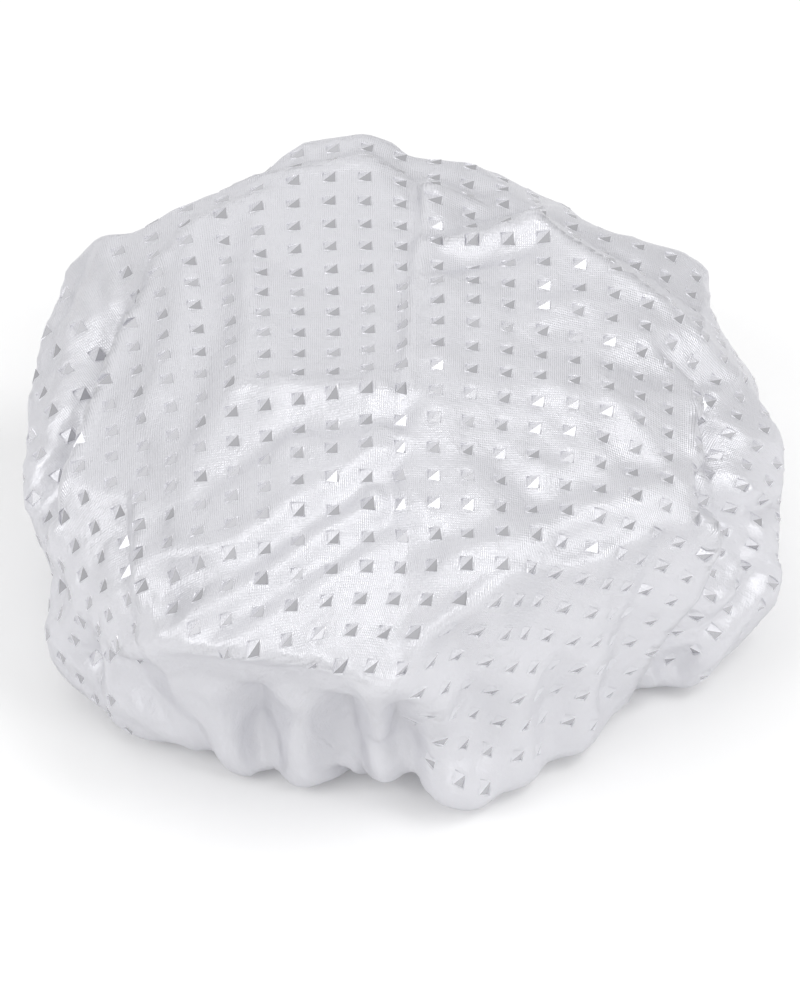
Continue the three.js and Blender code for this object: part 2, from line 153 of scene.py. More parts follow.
flat_share = flat_radius / SHEET_RADIUS
off_wall = from_smooth_wall(flat_angle)
spread = off_wall * np.exp(-np.abs(off_wall / WALL_SPREAD_ANGLE) ** WALL_SPREAD_POWER)
spread *= WALL_SPREAD * np.clip(flat_share - WALL_SPREAD_START, 0, WALL_SPREAD_MOST)
spread *= 1 - smooth_step((flat_share - RIM_START) / RIM_FADE)
sheet_turn = ((flat_angle + spread) % (2 * math.pi)) / (2 * math.pi) * MERIDIANS
turn_below = np.floor(sheet_turn).astype(int) % MERIDIANS
turn_share = (sheet_turn - np.floor(sheet_turn))[..., None]


def along_meridians(turns):
    places = np.zeros(turns.shape + (3,))
    share = np.clip(flat_share, 0, 1)
    for turn in range(MERIDIANS):
        on_turn = turns == turn
        wanted = share[on_turn] * whole_lengths[turn]
        for axis in range(3):
            places[on_turn, axis] = np.interp(wanted, meridian_length[turn], meridian[turn, :, axis])
    return places


film = along_meridians(turn_below) * (1 - turn_share)
film += along_meridians((turn_below + 1) % MERIDIANS) * turn_share
most_spread = np.abs(spread[in_sheet]).max()
print("first guess, the smooth wall fanned out by up to", round(math.degrees(most_spread), 1), "degrees")

# %% [markdown]
# Now the lattice settles. Each pass pulls every thread and diagonal towards its flat length, and
# then sets the points back on the skin. Towards the rim the round threads may draw in, because
# there the elastic gathers the sheet to a third of its width. The smooth wall is let off most of it.

# %% Let the sheet settle on the folds
SETTLE_PASSES = 120
GATHER_START = 0.48
THREAD_PULL = 0.42
DIAGONAL_PULL = 0.22
LONG_PULL = 0.10
WALL_EASE = 0.9
WALL_EASE_END = 0.80
WALL_EASE_FADE = 0.14
LEAST_LENGTH = 1e-9


def drawn_in(radius, angle):
    share = radius / SHEET_RADIUS
    rim_share = HEM_RADIUS / SHEET_RADIUS
    gathered = (rim_share - 1) * smooth_step((share - GATHER_START) / (1 - GATHER_START))
    off_wall = np.abs(from_smooth_wall(angle))
    on_wall = 1 - smooth_step((off_wall - SMOOTH_WALL_HALF) / SMOOTH_WALL_FADE)
    on_wall = on_wall * (1 - smooth_step((share - WALL_EASE_END) / WALL_EASE_FADE))
    return 1 + gathered * (1 - WALL_EASE * on_wall)


def shifted(steps):
    if steps > 0:
        return slice(None, -steps), slice(steps, None)
    if steps < 0:
        return slice(-steps, None), slice(None, steps)
    return slice(None), slice(None)


def thread_set(steps_x, steps_y, pull):
    from_x, to_x = shifted(steps_x)
    from_y, to_y = shifted(steps_y)
    start = (from_x, from_y)
    end = (to_x, to_y)
    run_x = flat_x[end] - flat_x[start]
    run_y = flat_y[end] - flat_y[start]
    middle_x = (flat_x[end] + flat_x[start]) / 2
    middle_y = (flat_y[end] + flat_y[start]) / 2
    middle_radius = np.maximum(np.hypot(middle_x, middle_y), LEAST_LENGTH)
    outwards = (run_x * middle_x + run_y * middle_y) / middle_radius
    around = (run_y * middle_x - run_x * middle_y) / middle_radius
    around = around * drawn_in(middle_radius, np.arctan2(middle_y, middle_x))
    weight = pull * (in_sheet[start] & in_sheet[end])
    return start, end, np.hypot(outwards, around), weight


threads = [
    thread_set(1, 0, THREAD_PULL),
    thread_set(0, 1, THREAD_PULL),
    thread_set(1, 1, DIAGONAL_PULL),
    thread_set(1, -1, DIAGONAL_PULL),
    thread_set(3, 0, LONG_PULL),
    thread_set(0, 3, LONG_PULL),
]

tucked = flat_radius > SHEET_RADIUS - HEM_TUCK
tuck_radius = HEM_RADIUS - np.maximum(flat_radius - SHEET_RADIUS + HEM_TUCK, 0)
tuck_ring = np.stack([
    MOUTH_X + tuck_radius * np.cos(flat_angle),
    MOUTH_Y + tuck_radius * np.sin(flat_angle),
    np.full_like(flat_angle, HEM_HEIGHT / 2),
], axis=-1)
loose_points = np.argwhere(in_sheet & ~tucked)


def set_on_skin(points, where):
    for i, j in where:
        points[i, j] = skin.find_nearest(Vector(points[i, j]))[0]


film[tucked] = tuck_ring[tucked]
for settle_pass in range(SETTLE_PASSES):
    for start, end, length, weight in threads:
        run = film[end] - film[start]
        now = np.maximum(np.linalg.norm(run, axis=2), LEAST_LENGTH)
        move = run * (weight * (now - length) / now / 2)[..., None]
        film[start] += move
        film[end] -= move
    set_on_skin(film, loose_points)
    film[tucked] = tuck_ring[tucked]
start, end, length, weight = threads[0]
strain = np.linalg.norm(film[end] - film[start], axis=2)[weight > 0] / length[weight > 0]
print("settled in", SETTLE_PASSES, "passes, threads at", np.percentile(strain, [5, 50, 95]).round(3),
      "of their length")

# %% [markdown]
# A finer lattice carries the studs and wrinkles. Between two coarse points a four-point curve adds
# one more, which keeps folds crisp without corners.

# %% Finer film
def four_point(points):
    padded = np.concatenate([2 * points[:1] - points[1:2], points, 2 * points[-1:] - points[-2:-1]])
    finer = np.zeros((2 * len(points) - 1,) + points.shape[1:])
    finer[::2] = points
    finer[1::2] = (9 * (padded[1:-2] + padded[2:-1]) - padded[:-3] - padded[3:]) / 16
    return finer


fine_film = np.swapaxes(four_point(np.swapaxes(four_point(film), 0, 1)), 0, 1)
fine_steps = np.arange(-2 * lattice_reach, 2 * lattice_reach + 1)
step_x, step_y = np.meshgrid(fine_steps, fine_steps, indexing="ij")
fine_x = step_x * FINE_CELL
fine_y = step_y * FINE_CELL
fine_radius = np.hypot(fine_x, fine_y)
fine_angle = np.arctan2(fine_y, fine_x)
in_film = fine_radius <= SHEET_RADIUS
print("fine film", int(in_film.sum()), "points,", round(FINE_CELL * 1000, 2), "mm apart")


def film_normals(points):
    normal = np.cross(np.gradient(points, axis=0), np.gradient(points, axis=1))
    return normal / np.maximum(np.linalg.norm(normal, axis=2, keepdims=True), 1e-12)


# %% [markdown]
# In tight hollows some threads have crossed, and the film there faces inwards. Every part of this
# crown should face away from the pole inside it, so points that don't are averaged with their
# neighbours until they do.

# %% Uncross the threads
UNCROSS_ROUNDS = 80
FACING_LEAST = 0.12
UNCROSS_RINGS = 8
AVERAGING = 0.6


def neighbour_mean(points):
    padded = np.pad(points, ((1, 1), (1, 1), (0, 0)), mode="edge")
    return (padded[:-2, 1:-1] + padded[2:, 1:-1] + padded[1:-1, :-2] + padded[1:-1, 2:]) / 4


def crossed_threads(points):
    outwards = points - np.array(CROWN_POLE)
    outwards /= np.maximum(np.linalg.norm(outwards, axis=2, keepdims=True), LEAST_LENGTH)
    return ((film_normals(points) * outwards).sum(axis=2) < FACING_LEAST) & off_hem


off_hem = fine_radius < SHEET_RADIUS - 2 * COARSE_CELL
crossed_at_first = int(crossed_threads(fine_film).sum())
for uncross_round in range(UNCROSS_ROUNDS):
    nearby = crossed_threads(fine_film)[..., None].astype(float)
    for ring in range(UNCROSS_RINGS):
        nearby = np.clip(neighbour_mean(nearby) * 2, 0, 1)
    fine_film += (neighbour_mean(fine_film) - fine_film) * AVERAGING * nearby * off_hem[..., None]
print("crossed points", crossed_at_first, "then", int(crossed_threads(fine_film).sum()))

# %% [markdown]
# Where the film turns under at its foot, the lattice steps across a sharp edge and would look like
# stairs. A few passes of averaging with the four neighbours round that edge off. The hollow under the
# front brim gets the same, because the photo shows it smooth.

# %% Round the foot
FOOT_TOP = 0.013
FOOT_FADE = 0.007
FOOT_PASSES = 8
HOLLOW_TOP = 0.058
HOLLOW_LEFT = -0.084
HOLLOW_RIGHT = 0.010
HOLLOW_BEHIND = -0.070
HOLLOW_FADE = 0.012
HOLLOW_PASSES = 12


def rounded(points, share, passes):
    for rounding_pass in range(passes):
        points = points + (neighbour_mean(points) - points) * AVERAGING * share[..., None]
    return points


in_foot = smooth_step((FOOT_TOP - fine_film[..., 2]) / FOOT_FADE) * off_hem
fine_film = rounded(fine_film, in_foot, FOOT_PASSES)
in_hollow = smooth_step((HOLLOW_TOP - fine_film[..., 2]) / HOLLOW_FADE)
in_hollow *= smooth_step((fine_film[..., 0] - HOLLOW_LEFT) / HOLLOW_FADE)
in_hollow *= smooth_step((HOLLOW_RIGHT - fine_film[..., 0]) / HOLLOW_FADE)
in_hollow *= smooth_step((HOLLOW_BEHIND - fine_film[..., 1]) / HOLLOW_FADE) * off_hem
fine_film = rounded(fine_film, in_hollow, HOLLOW_PASSES)
print("rounded", int((in_foot[in_film] > 0.5).sum()), "points of the foot and",
      int((in_hollow[in_film] > 0.5).sum()), "under the brim")

# %% [markdown]
# The CAD folds are broad. The photo's smaller creases, puckers and hollows are listed as points in its
# pixels. The camera's own perspective then carries each point onto the CAD film, so the camera's values
# come here, before the folds that need them.

# %% The photo's viewpoint
PHOTO_WIDTH = 800
PHOTO_HEIGHT = 1000
FOCAL_PIXELS = 3850
CAMERA_ELEVATION = math.radians(40)
CAMERA_DISTANCE = 1.25
CAMERA_AIM = Vector((MOUTH_X - 0.0016, MOUTH_Y + 0.002, 0.04))
PICK_STEP = 45
LOWEST_PICK = 0.001

look = Vector((0, math.cos(CAMERA_ELEVATION), -math.sin(CAMERA_ELEVATION)))
look_up = Vector((0, math.sin(CAMERA_ELEVATION), math.cos(CAMERA_ELEVATION)))
camera_place = CAMERA_AIM - look * CAMERA_DISTANCE
solid_faces = [tuple(face.vertices) for face in film_solid.data.polygons]
whole_film = BVHTree.FromPolygons(solid_points, solid_faces)


def seen_on_film(across, down):
    right = Vector(((across - PHOTO_WIDTH / 2) / FOCAL_PIXELS, 0, 0))
    up = look_up * (PHOTO_HEIGHT / 2 - down) / FOCAL_PIXELS
    return whole_film.ray_cast(camera_place, (look + right + up).normalized())[0]


def line_on_film(picks):
    seen = []
    for (across, down), (next_across, next_down) in zip(picks, picks[1:]):
        steps = max(1, round(math.hypot(next_across - across, next_down - down) / PICK_STEP))
        for share in np.arange(steps) / steps:
            seen.append(seen_on_film(across + (next_across - across) * share,
                                     down + (next_down - down) * share))
    seen.append(seen_on_film(*picks[-1]))
    return np.array([place for place in seen if place is not None and place.z > LOWEST_PICK])


print("camera at", [round(part, 3) for part in camera_place])

# %% [markdown]
# Each fold has a height and a width in millimetres, and then its points on the photo. A crease rises
# to a sharp edge and a soft fold to a round one, and hollows have negative heights.

# %% Creases, soft folds and hollows
MM = 0.001
CREASE_SHARPNESS = 1.3
CREASES = {
    "packing_crease": (2.3, 3.0, [(428, 196), (420, 245), (413, 290), (409, 345), (406, 394)]),
    "pucker_one": (2.1, 2.2, [(376, 430), (404, 440)]),
    "pucker_two": (2.0, 2.2, [(372, 452), (402, 456)]),
    "pucker_three": (2.1, 2.2, [(378, 474), (408, 470)]),
    "pucker_four": (1.9, 2.2, [(374, 494), (404, 488)]),
    "pucker_five": (1.7, 2.2, [(382, 510), (408, 512)]),
    "packing_crease_front": (1.3, 2.8, [(394, 524), (396, 600), (394, 688)]),
    "panel_front_crease": (1.7, 3.0, [(240, 386), (300, 384), (350, 388), (406, 394)]),
    "panel_left_crease": (1.2, 3.6, [(262, 205), (254, 250), (250, 300), (240, 386)]),
    "bright_ridge": (3.0, 3.4, [(138, 498), (142, 560), (150, 638)]),
    "brim": (2.2, 3.0, [(152, 640), (200, 649), (256, 655), (320, 662), (360, 676), (392, 691)]),
    "right_front_edge": (1.5, 3.2, [
        (416, 640), (465, 607), (511, 572), (580, 566), (637, 538), (696, 518)]),
    "bulge_edge": (2.0, 3.4, [
        (156, 270), (137, 306), (113, 356), (94, 406), (77, 464), (66, 498), (57, 536)]),
    "pinch_ridge": (2.8, 3.0, [(430, 246), (480, 238), (535, 221)]),
    "right_crest": (2.3, 4.0, [(535, 221), (575, 246), (622, 276), (662, 304), (702, 338)]),
    "right_wall_edge": (2.4, 3.0, [(713, 536), (690, 592), (648, 650), (598, 744)]),
    "petal_gap_one": (-7.0, 4.2, [(256, 690), (260, 725), (263, 768)]),
    "petal_gap_two": (-7.0, 4.2, [(340, 700), (344, 735), (346, 768)]),
    "petal_gap_three": (-7.0, 4.2, [(400, 712), (404, 745), (412, 776)]),
    "crest_edge": (2.3, 3.0, [(250, 184), (300, 173), (365, 161), (430, 190), (480, 206), (535, 221)]),
    "left_crest_edge": (2.0, 3.2, [(163, 263), (205, 222), (262, 196)]),
    "hollow_sweep": (2.2, 3.0, [(152, 644), (185, 690), (215, 730), (248, 770)]),
    "right_face_crease": (1.5, 3.0, [(596, 366), (612, 400), (640, 436), (660, 458)]),
    "lobe_edge_left": (2.2, 2.8, [(693, 412), (695, 450), (699, 500), (712, 530)]),
    "lobe_edge_top": (2.6, 2.8, [(699, 408), (716, 392), (738, 375)]),
    "left_lobe_valley": (-4.5, 3.8, [(118, 312), (102, 364), (85, 398), (72, 440), (65, 474), (56, 512)]),
    "lobe_shine_edge": (2.0, 3.0, [(691, 610), (712, 598), (729, 589), (745, 565), (758, 538)]),
    "lobe_outer_fold": (2.6, 3.0, [(748, 488), (772, 503)]),
    "facet_edge_right": (2.0, 2.8, [(107, 240), (111, 275), (115, 308)]),
    "facet_edge_left": (2.0, 2.8, [(68, 272), (82, 294), (99, 318)]),
    "right_lobe_valley": (-4.0, 3.6, [(708, 408), (707, 450), (711, 496), (721, 522)]),
    "back_corner_edge": (2.2, 2.8, [(699, 322), (704, 295), (708, 270)]),
    "lobe_notch": (-4.0, 3.6, [(750, 512), (766, 509), (780, 506)]),
}
SOFT_FOLDS = {
    "packing_hollow": (-1.2, 4.0, [(404, 404), (398, 440), (396, 480), (394, 518)]),
    "wrinkle_one": (1.8, 4.5, [(391, 441), (340, 476), (294, 503), (231, 545), (160, 556)]),
    "wrinkle_two": (-2.0, 6.0, [(383, 470), (330, 505), (280, 540), (210, 572), (168, 585)]),
    "wrinkle_three": (1.5, 3.6, [(373, 499), (328, 530), (247, 588), (205, 613), (160, 636)]),
    "wrinkle_four": (-1.5, 5.0, [(380, 525), (322, 560), (262, 603), (215, 630)]),
    "wrinkle_five": (1.5, 4.0, [(387, 548), (318, 588), (278, 617), (240, 640)]),
    "bright_ridge_left": (-1.6, 4.0, [(122, 508), (126, 575), (134, 634)]),
    "bright_ridge_right": (-1.4, 4.0, [(160, 518), (164, 580), (170, 630)]),
    "pinch_back_hollow": (-2.4, 5.0, [(440, 226), (485, 214), (528, 205)]),
    "pinch_front_hollow": (-1.8, 4.5, [(436, 266), (490, 257), (530, 246)]),
    "right_crest_hollow": (-2.0, 5.0, [(565, 222), (612, 250), (655, 276), (690, 302)]),
    "right_facet_edge": (1.2, 4.0, [(697, 392), (694, 438), (700, 480), (712, 520)]),
    "right_lobe_hollow": (-2.4, 5.0, [(742, 556), (714, 604), (672, 662), (630, 704)]),
    "lower_left_ridge": (2.4, 4.0, [(62, 648), (100, 676), (140, 708), (172, 732)]),
    "lower_left_dip": (-1.2, 5.0, [(96, 652), (130, 668), (160, 694), (190, 722)]),
    "lower_left_ridge_two": (1.8, 4.5, [(178, 682), (188, 716), (196, 748)]),
    "petal_one": (3.4, 6.0, [(212, 690), (226, 720), (239, 769)]),
    "petal_two": (4.0, 7.0, [(298, 700), (302, 740), (303, 782)]),
    "petal_three": (3.4, 4.5, [(372, 690), (380, 735), (386, 786)]),
    "wall_tip_fold": (1.8, 4.5, [(420, 650), (436, 720), (452, 770), (468, 814)]),
    "wall_fold_one": (-2.2, 6.0, [(452, 640), (478, 720), (498, 796)]),
    "wall_fold_two": (1.8, 6.5, [(492, 606), (512, 690), (528, 780)]),
    "wall_fold_three": (-2.0, 6.5, [(545, 580), (554, 680), (556, 768)]),
    "wall_fold_four": (1.8, 6.0, [(600, 566), (596, 650), (578, 742)]),
    "wall_fold_five": (-2.1, 5.0, [(664, 536), (640, 610), (606, 690)]),
    "right_lobe_shine": (2.0, 5.0, [(770, 575), (735, 625), (690, 684)]),
    "right_lobe_shine_two": (-1.8, 4.0, [(755, 572), (722, 622), (668, 688)]),
    "left_lobe_fold": (-2.0, 6.0, [(82, 262), (50, 350), (34, 440)]),
    "left_lobe_fold_two": (1.8, 6.0, [(96, 262), (68, 340), (46, 430), (34, 500)]),
    "left_face_fold": (1.8, 6.0, [(196, 232), (176, 330), (150, 420)]),
    "left_face_dip": (-1.8, 6.0, [(226, 240), (212, 330), (186, 430)]),
    "right_face_fold": (1.5, 6.0, [(436, 572), (520, 540), (600, 505), (680, 486)]),
    "right_face_dip": (-1.7, 6.0, [(440, 538), (500, 512), (560, 490), (644, 456)]),
    "right_face_fold_two": (0.7, 8.0, [(480, 300), (500, 360), (500, 430)]),
    "right_face_dip_two": (-1.2, 5.0, [(470, 580), (560, 548), (640, 518)]),
    "back_slope_hollow": (-2.2, 6.0, [(262, 170), (310, 157), (368, 146), (425, 173), (480, 190)]),
    "lower_left_brim": (1.2, 3.5, [(46, 630), (92, 640), (140, 646)]),
    "gap_one_foot": (-6.5, 6.0, [(262, 748), (264, 764)]),
    "gap_two_foot": (-6.0, 6.0, [(345, 752), (347, 768)]),
    "gap_three_foot": (-4.0, 6.0, [(404, 750), (408, 770)]),
    "packing_valley": (-1.4, 3.0, [(417, 200), (410, 245), (403, 290), (399, 345), (396, 388)]),
    "lobe_lower_fold": (-2.0, 4.0, [(706, 632), (735, 610), (760, 575)]),
    "wall_tip_foot": (4.5, 11.0, [(455, 786), (478, 788)]),
    "petal_one_foot": (5.5, 7.0, [(238, 748), (243, 757)]),
    "petal_three_foot": (3.0, 5.0, [(382, 768), (386, 776)]),
}


def line_distance(points, line):
    nearest = np.full(len(points), np.inf)
    for a, b in zip(line[:-1], line[1:]):
        run = b - a
        share = np.clip((points - a) @ run / (run @ run), 0, 1)
        nearest = np.minimum(nearest, np.linalg.norm(points - a - share[:, None] * run, axis=1))
    return nearest


def fold_film(points, fold_lines, sharp):
    flat_list = points[in_film]
    lift = np.zeros(len(flat_list))
    for height, width, picks in fold_lines.values():
        away = line_distance(flat_list, line_on_film(picks)) / (width * MM)
        profile = np.exp(-CREASE_SHARPNESS * away) if sharp else np.exp(-away ** 2)
        lift += height * MM * profile
    points[in_film] = flat_list + film_normals(points)[in_film] * lift[:, None]


fold_film(fine_film, SOFT_FOLDS, sharp=False)
fold_film(fine_film, CREASES, sharp=True)
print("folded", len(SOFT_FOLDS), "soft folds and", len(CREASES), "creases")

# %% [markdown]
# Below the crown the elastic crowds the sheet into pleats, many and small at the hem and fewer
# up the walls. A faint crumple covers it all, as thin film keeps marks of its folding.

# %% Gathers and crumple
HEM_PLEATS = 46
PLEAT_HEIGHT = 0.0028
WALL_PLEATS = 19
WALL_PLEAT_HEIGHT = 0.0008
CRUMPLE_HEIGHT = 0.0006
FLOOR_GAP = 0.0007
SWAY_ROUND = 2.3
SWAY_DOWN = 1.5
PLEAT_SWAY = 0.11
PLEAT_MEAN = 0.75
PLEAT_VARIES = 0.5
WALL_SWAY = 0.2
WALL_TURN = 1.1
BROAD_MARKS = 26
BROAD_DEPTH = 2.2
MIDDLE_MARKS = 75
MIDDLE_DEPTH = 0.45
FINE_MARKS = 140
FINE_DEPTH = 0.5
CRUMPLE_END = 0.9
CRUMPLE_FADE = 0.05


def window(share, start, fade_in, end, fade_out):
    return smooth_step((share - start) / fade_in) * (1 - smooth_step((share - end) / fade_out))


reach_share = fine_radius / SHEET_RADIUS
hem_window = window(reach_share, start=0.885, fade_in=0.05, end=0.95, fade_out=0.04)
wall_window = window(reach_share, start=0.46, fade_in=0.2, end=0.72, fade_out=0.2)
crumple_window = 1 - smooth_step((reach_share - CRUMPLE_END) / CRUMPLE_FADE)
gather = np.zeros(in_film.shape)
for i, j in np.argwhere(in_film):
    place = Vector((fine_x[i, j], fine_y[i, j], 0))
    spin = Vector((math.cos(fine_angle[i, j]), math.sin(fine_angle[i, j]), 0))
    sway = noise.noise(spin * SWAY_ROUND + Vector((0, 0, reach_share[i, j] * SWAY_DOWN)))
    pleat = math.sin(HEM_PLEATS * (fine_angle[i, j] + PLEAT_SWAY * sway))
    pleat *= PLEAT_MEAN + PLEAT_VARIES * sway
    wall = math.sin(WALL_PLEATS * (fine_angle[i, j] + WALL_SWAY * sway) + WALL_TURN)
    crumple = 1 - BROAD_DEPTH * abs(noise.noise(place * BROAD_MARKS))
    crumple += MIDDLE_DEPTH * noise.noise(place * MIDDLE_MARKS)
    crumple += FINE_DEPTH * abs(noise.noise(place * FINE_MARKS))
    gather[i, j] = hem_window[i, j] * pleat * PLEAT_HEIGHT
    gather[i, j] += wall_window[i, j] * wall * WALL_PLEAT_HEIGHT
    gather[i, j] += crumple * CRUMPLE_HEIGHT * crumple_window[i, j]
fine_film += film_normals(fine_film) * gather[..., None]
fine_film[..., 2] = np.maximum(fine_film[..., 2], FLOOR_GAP)
print("gathers and crumple from", round(gather.min() / MM, 1), "to", round(gather.max() / MM, 1), "mm")

# %% [markdown]
# The studs are pressed into the flat sheet before it is sewn, so they stand on its lattice. Each is
# a small square two cells wide, bent along one diagonal into two flat facets that mirror the light
# differently. The hollow under the brim and one facet at the back left have no studs in the photo.

# %% Where the studs stand
STUD_RIDGE = 0.0003
STUD_CORNER = -0.0006
STUD_SIZE = 0.84
STUD_MARGIN = 0.195
PLAIN_LEFT = -0.080
PLAIN_RIGHT = 0.002
PLAIN_BEHIND = -0.06
PLAIN_TOP = 0.067
PLAIN_CORNER_LEFT = -0.086
PLAIN_CORNER_TOP = 0.036
FACET_RIGHT = -0.094
FACET_FRONT = 0.044
FACET_BACK = 0.084
FACET_FOOT = 0.074

stud_middle = (step_x % CELLS_PER_PITCH == 0) & (step_y % CELLS_PER_PITCH == 0)
stud_middle &= fine_radius < STUD_MARGIN
plain_front = (fine_film[..., 0] > PLAIN_LEFT) & (fine_film[..., 0] < PLAIN_RIGHT)
plain_front &= (fine_film[..., 1] < PLAIN_BEHIND) & (fine_film[..., 2] < PLAIN_TOP)
plain_corner = (fine_film[..., 0] > PLAIN_CORNER_LEFT) & (fine_film[..., 0] < PLAIN_LEFT)
plain_corner &= (fine_film[..., 1] < PLAIN_BEHIND) & (fine_film[..., 2] < PLAIN_CORNER_TOP)
plain_facet = (fine_film[..., 0] < FACET_RIGHT) & (fine_film[..., 1] > FACET_FRONT)
plain_facet &= (fine_film[..., 1] < FACET_BACK) & (fine_film[..., 2] > FACET_FOOT)
stud_middle &= ~plain_front & ~plain_corner & ~plain_facet
print("studs", int(stud_middle.sum()))

# %% [markdown]
# Four new points and a thin upright edge replace the lattice inside each stud's square. The film is
# shaded smooth and the studs flat. Every point also keeps its place on the flat sheet as a UV map,
# so that the rib of the emboss can follow the sheet later.

# %% The film's mesh
FILM_LOOK = 0
SHADED_FACET_LOOK = 1


def new_piece(name, points, faces, smooth):
    mesh = bpy.data.meshes.new(name)
    mesh.from_pydata(points, [], faces)
    mesh.polygons.foreach_set("use_smooth", smooth)
    piece = bpy.data.objects.new(name, mesh)
    bpy.context.collection.objects.link(piece)
    print(name, len(faces), "faces")
    return piece


kept_points = in_film & ~stud_middle
point_number = np.full(in_film.shape, -1)
point_number[kept_points] = np.arange(kept_points.sum())
film_points = fine_film[kept_points].tolist()
flat_places = np.stack([fine_x, fine_y], axis=-1)[kept_points].tolist()
whole_cell = kept_points[:-1, :-1] & kept_points[1:, :-1] & kept_points[1:, 1:] & kept_points[:-1, 1:]
film_faces = []
for i, j in np.argwhere(whole_cell):
    corners = [(i, j), (i + 1, j), (i + 1, j + 1), (i, j + 1)]
    film_faces.append([int(point_number[corner]) for corner in corners])

STUD_CORNERS = [(-1, -1, STUD_RIDGE), (1, -1, STUD_CORNER), (1, 1, STUD_RIDGE), (-1, 1, STUD_CORNER)]
stud_normals = film_normals(fine_film)
stud_edges = []
stud_facets = []
for i, j in np.argwhere(stud_middle):
    first = len(film_points)
    for side_x, side_y, height in STUD_CORNERS:
        corner = fine_film[i + side_x, j + side_y]
        raised = fine_film[i, j] * (1 - STUD_SIZE) + corner * STUD_SIZE + stud_normals[i, j] * height
        film_points.append(raised.tolist())
        flat_places.append([fine_x[i, j] + side_x * STUD_SIZE * FINE_CELL,
                            fine_y[i, j] + side_y * STUD_SIZE * FINE_CELL])
    for side in range(4):
        here_x, here_y = STUD_CORNERS[side][:2]
        next_x, next_y = STUD_CORNERS[(side + 1) % 4][:2]
        between = (i + (here_x + next_x) // 2, j + (here_y + next_y) // 2)
        stud_edges.append([int(point_number[i + here_x, j + here_y]), int(point_number[between]),
                           int(point_number[i + next_x, j + next_y]), first + (side + 1) % 4, first + side])
    stud_facets += [[first, first + 1, first + 2], [first, first + 2, first + 3]]

flat_count = len(stud_edges) + len(stud_facets)
crown_film = new_piece("crown_film_sheet", film_points, film_faces + stud_edges + stud_facets,
                       [True] * len(film_faces) + [False] * flat_count)
film_mesh = crown_film.data
film_looks = [FILM_LOOK] * (len(film_faces) + len(stud_edges))
# the lower right facet of each stud takes the darker material with painted shade
film_looks += [SHADED_FACET_LOOK, FILM_LOOK] * (len(stud_facets) // 2)
film_mesh.polygons.foreach_set("material_index", film_looks)
flat_map = film_mesh.uv_layers.new(name="flat_sheet")
loop_points = np.zeros(len(film_mesh.loops), dtype=int)
film_mesh.loops.foreach_get("vertex_index", loop_points)
flat_map.data.foreach_set("uv", np.array(flat_places)[loop_points].ravel())
print("of these", len(film_faces), "film faces and", len(stud_facets), "stud facets")

# %% [markdown]
# The casing is a narrow strip folded round the elastic, with its two lips sewn to the film's rim.
# It is made as one thin sheet with a U for its section, swept round the mouth. The elastic crowds
# it too, so its section swells and sinks as it goes round.

# %% The casing
CASING_STEPS = 420
CASING_PLEATS = 70
CASING_PLEAT_HEIGHT = 0.0006
CASING_WIDTH = 0.011
CASING_MIDDLE = 0.003
CASING_LOWEST = 0.0002
CASING_SWAY_ROUND = 4
CASING_SWAY = 3
CASING_SIDEWAYS = 0.4
MOUTH_RADIUS = HEM_RADIUS - CASING_WIDTH


def ring_place(angle, radius, height):
    return (MOUTH_X + radius * math.cos(angle), MOUTH_Y + radius * math.sin(angle), height)


def swept_ring(name, steps, section_at, closed_section):
    points = []
    faces = []
    for step in range(steps):
        points += section_at(step / steps * 2 * math.pi, step)
    count = len(points) // steps
    for step in range(steps):
        after = (step + 1) % steps
        for side in range(count if closed_section else count - 1):
            beside = (side + 1) % count
            faces.append((step * count + side, step * count + beside,
                          after * count + beside, after * count + side))
    return new_piece(name, points, faces, [True] * len(faces))


CASING_PROFILE = [(0.0108, 0.0004), (0.0085, 0.0003), (0.006, 0.0003), (0.0035, 0.0003), (0.0016, 0.0006),
                  (0.0006, 0.0016), (0.0003, 0.003), (0.0006, 0.0044), (0.0016, 0.0053), (0.0035, 0.0057),
                  (0.006, 0.0057), (0.0085, 0.0056), (0.0108, 0.0055)]


def casing_section(angle, step):
    sway = noise.noise(Vector((math.cos(angle), math.sin(angle), 0)) * CASING_SWAY_ROUND)
    swell = math.sin(CASING_PLEATS * angle + CASING_SWAY * sway) * CASING_PLEAT_HEIGHT
    section = []
    for outwards, height in CASING_PROFILE:
        rise = height + swell * (height - CASING_MIDDLE) / CASING_MIDDLE
        rise = max(CASING_LOWEST, rise - CASING_PLEAT_HEIGHT * (height > CASING_MIDDLE))
        section.append(ring_place(angle, MOUTH_RADIUS + outwards + CASING_SIDEWAYS * swell, rise))
    return section


hem_casing = swept_ring("hem_casing_strip", CASING_STEPS, casing_section, closed_section=False)

# %% [markdown]
# Inside the casing runs a flat knitted elastic with ribs along it. A flat band could be a swept
# curve, but its ends overlap at the back and it climbs on to itself there, so it is built section by
# section.

# %% The elastic
elastic_low, elastic_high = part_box("elastic_band")
ELASTIC_STEPS = 300
ELASTIC_WIDTH = 0.006
ELASTIC_THICKNESS = 0.0012
ELASTIC_OVERLAP = 0.2
ELASTIC_RIBS = 6
ELASTIC_GROOVE = 0.00012
ELASTIC_INSET = 0.0011
CLIMB_START = 5.98
CLIMB_ANGLE = 0.23
elastic_inner = MOUTH_RADIUS + ELASTIC_INSET
elastic_climb = elastic_high.z - elastic_low.z - ELASTIC_THICKNESS


